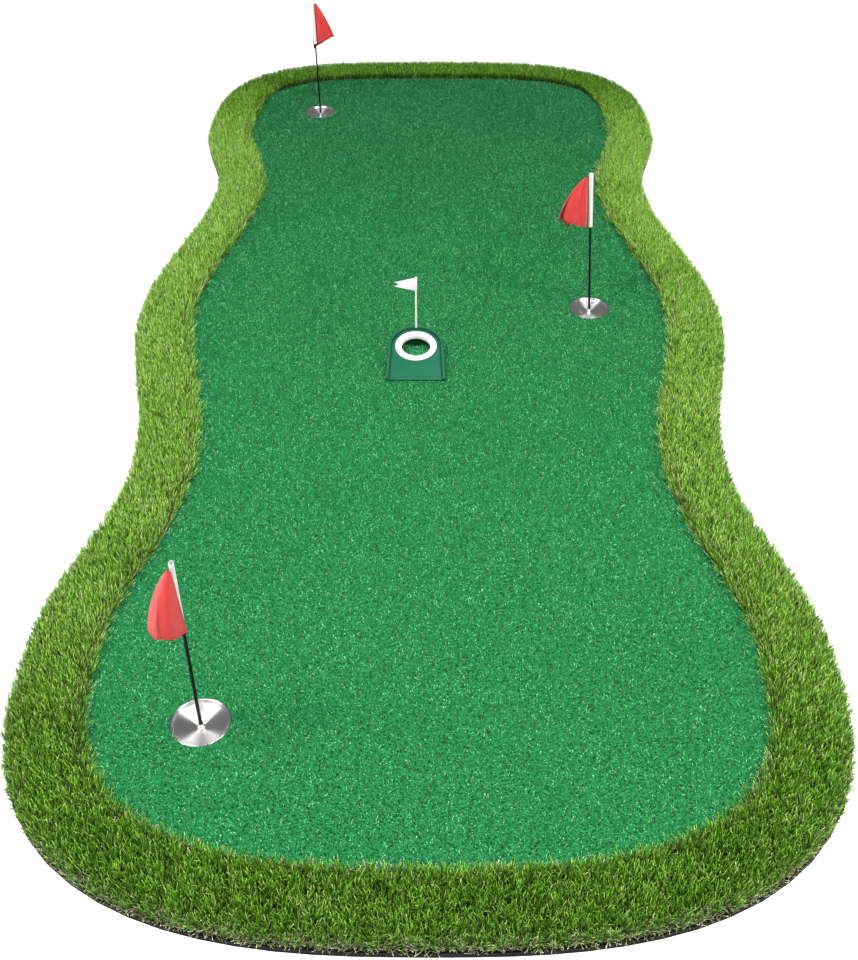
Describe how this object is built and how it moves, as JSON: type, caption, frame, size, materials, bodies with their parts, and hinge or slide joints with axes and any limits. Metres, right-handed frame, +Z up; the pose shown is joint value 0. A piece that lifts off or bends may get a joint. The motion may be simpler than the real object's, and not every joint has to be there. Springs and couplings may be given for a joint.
{
  "type": "practice putting mat",
  "caption": "Long three-lobed practice putting mat: short green turf inside a tall-turf fringe, metal cups with red-flag sticks, and a loose ramp trainer with a white ring and small flag.",
  "frame": {"origin": "on the floor, at the centre of the mat's footprint", "axes": "+Z up, +Y along the mat away from the near end, +X to the right seen from the near end"},
  "size_m": [1.5498, 3.66, 0.4104],
  "materials": {
    "rubber": "matt black moulded rubber foam",
    "tape": "non-woven joining tape",
    "backing": "coated woven turf backing",
    "green_turf": "short curled putting-green pile",
    "fringe_turf": "tall upright turf blades with straw-coloured thatch",
    "stainless": "spun, circular brushed",
    "nickel": "turned, bright",
    "pole_black": "smooth black rod",
    "white_webbing": "woven white hem",
    "red_cloth": "satin woven red cloth",
    "ramp_green": "moulded, satin",
    "white_plastic": "moulded, smooth",
    "pennant_white": "thin moulded sheet"
  },
  "bodies": {
    "mat": {"rubber_base": "rubber", "seam_tape": "tape", "green_backing": "backing", "green_pile": "green_turf", "fringe_backing": "backing", "fringe_pile": "fringe_turf"},
    "near_cup_unit": {"near_cup": "stainless", "near_socket": "nickel", "near_locknut": "nickel"},
    "near_flagstick": {"near_pole": "pole_black"},
    "near_flag_unit": {"near_sleeve": "white_webbing", "near_flag": "red_cloth"},
    "mid_cup_unit": {"mid_cup": "stainless", "mid_socket": "nickel", "mid_locknut": "nickel"},
    "mid_flagstick": {"mid_pole": "pole_black"},
    "mid_flag_unit": {"mid_sleeve": "white_webbing", "mid_flag": "red_cloth"},
    "far_cup_unit": {"far_cup": "stainless", "far_socket": "nickel", "far_locknut": "nickel"},
    "far_flagstick": {"far_pole": "pole_black"},
    "far_flag_unit": {"far_sleeve": "white_webbing", "far_flag": "red_cloth"},
    "trainer": {"trainer_ramp": "ramp_green", "trainer_ring": "white_plastic"},
    "trainer_flagstick": {"trainer_stem": "white_plastic", "trainer_flag": "pennant_white"}
  },
  "joints": [
    {"name": "near_cup_lift", "type": "slide", "parent": "mat", "child": "near_cup_unit", "axis": [0, 0, 1], "range_m": [0, 0.08]},
    {"name": "near_flagstick_pull", "type": "slide", "parent": "near_cup_unit", "child": "near_flagstick", "axis": [0, 0, 1], "range_m": [0, 0.1]},
    {"name": "near_flag_turn", "type": "hinge", "parent": "near_flagstick", "child": "near_flag_unit", "pos_m": [-0.40687, -1.39446, 0.0093], "axis": [0, 0, 1], "continuous": true},
    {"name": "mid_cup_lift", "type": "slide", "parent": "mat", "child": "mid_cup_unit", "axis": [0, 0, 1], "range_m": [0, 0.08]},
    {"name": "mid_flagstick_pull", "type": "slide", "parent": "mid_cup_unit", "child": "mid_flagstick", "axis": [-0.0698, 0, 0.9976], "range_m": [0, 0.1]},
    {"name": "mid_flag_turn", "type": "hinge", "parent": "mid_flagstick", "child": "mid_flag_unit", "pos_m": [0.432, 0.02928, 0.00951], "axis": [-0.0698, 0, 0.9976], "continuous": true},
    {"name": "far_cup_lift", "type": "slide", "parent": "mat", "child": "far_cup_unit", "axis": [0, 0, 1], "range_m": [0, 0.08]},
    {"name": "far_flagstick_pull", "type": "slide", "parent": "far_cup_unit", "child": "far_flagstick", "axis": [-0.0175, 0, 0.9998], "range_m": [0, 0.1]},
    {"name": "far_flag_turn", "type": "hinge", "parent": "far_flagstick", "child": "far_flag_unit", "pos_m": [-0.39284, 1.37616, 0.00935], "axis": [-0.0175, 0, 0.9998], "continuous": true},
    {"name": "trainer_lift", "type": "slide", "parent": "mat", "child": "trainer", "axis": [0, 0, 1], "range_m": [0, 0.08]},
    {"name": "trainer_flagstick_pull", "type": "slide", "parent": "trainer", "child": "trainer_flagstick", "axis": [0, 0, 1], "range_m": [0, 0.03]}
  ]
}
